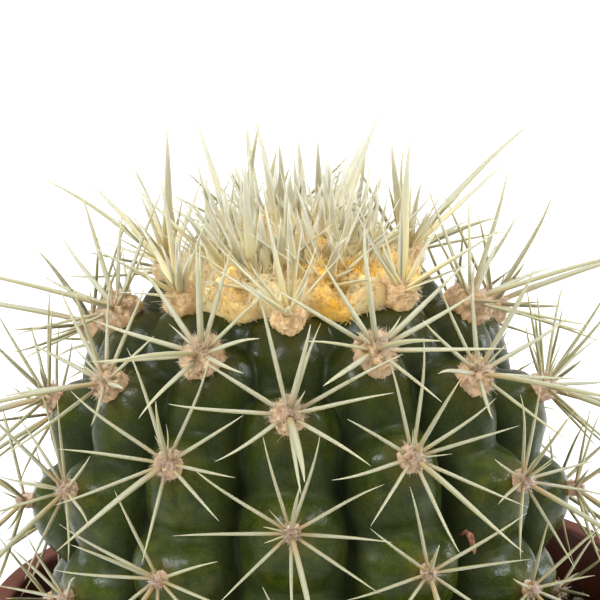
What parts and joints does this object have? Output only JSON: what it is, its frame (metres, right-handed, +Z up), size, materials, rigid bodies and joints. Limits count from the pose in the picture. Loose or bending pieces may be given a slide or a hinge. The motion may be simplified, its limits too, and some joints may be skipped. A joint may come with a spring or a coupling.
{
  "type": "potted round cactus",
  "caption": "Round ribbed cactus with long cream spines and a woolly crown, growing in a tapering round plastic pot of peat that stands on its flat base.",
  "frame": {"origin": "centre of the pot's flat underside, where it stands on the surface", "axes": "+Z up along the pot's axis, -Y towards the front of the plant as pictured, +X to its right"},
  "size_m": [0.1538, 0.1503, 0.1855],
  "materials": {
    "pot_plastic": "moulded, satin",
    "peat": null,
    "cactus_skin": null,
    "spines_and_felt": null,
    "crown_wool_and_spines": null
  },
  "bodies": {
    "root": {"pot": "pot_plastic", "soil": "peat", "cactus_body": "cactus_skin", "crown": "crown_wool_and_spines", "areole_rib01_row1": "spines_and_felt", "areole_rib01_row2": "spines_and_felt", "areole_rib01_row3": "spines_and_felt", "areole_rib02_row1": "spines_and_felt", "areole_rib02_row2": "spines_and_felt", "areole_rib02_row3": "spines_and_felt", "areole_rib02_row4": "spines_and_felt", "areole_rib03_row1": "spines_and_felt", "areole_rib03_row2": "spines_and_felt", "areole_rib03_row3": "spines_and_felt", "areole_rib04_row1": "spines_and_felt", "areole_rib04_row2": "spines_and_felt", "areole_rib04_row3": "spines_and_felt", "areole_rib04_row4": "spines_and_felt", "areole_rib05_row1": "spines_and_felt", "areole_rib05_row2": "spines_and_felt", "areole_rib05_row3": "spines_and_felt", "areole_rib06_row1": "spines_and_felt", "areole_rib06_row2": "spines_and_felt", "areole_rib06_row3": "spines_and_felt", "areole_rib06_row4": "spines_and_felt", "areole_rib07_row1": "spines_and_felt", "areole_rib07_row2": "spines_and_felt", "areole_rib07_row3": "spines_and_felt", "areole_rib07_row4": "spines_and_felt", "areole_rib08_row1": "spines_and_felt", "areole_rib08_row2": "spines_and_felt", "areole_rib08_row3": "spines_and_felt", "areole_rib08_row4": "spines_and_felt", "areole_rib09_row1": "spines_and_felt", "areole_rib09_row2": "spines_and_felt", "areole_rib09_row3": "spines_and_felt", "areole_rib09_row4": "spines_and_felt", "areole_rib10_row1": "spines_and_felt", "areole_rib10_row2": "spines_and_felt", "areole_rib10_row3": "spines_and_felt", "areole_rib11_row1": "spines_and_felt", "areole_rib11_row2": "spines_and_felt", "areole_rib11_row3": "spines_and_felt", "areole_rib11_row4": "spines_and_felt", "areole_rib12_row1": "spines_and_felt", "areole_rib12_row2": "spines_and_felt", "areole_rib12_row3": "spines_and_felt", "areole_rib13_row1": "spines_and_felt", "areole_rib13_row2": "spines_and_felt", "areole_rib13_row3": "spines_and_felt", "areole_rib13_row4": "spines_and_felt"}
  },
  "joints": []
}
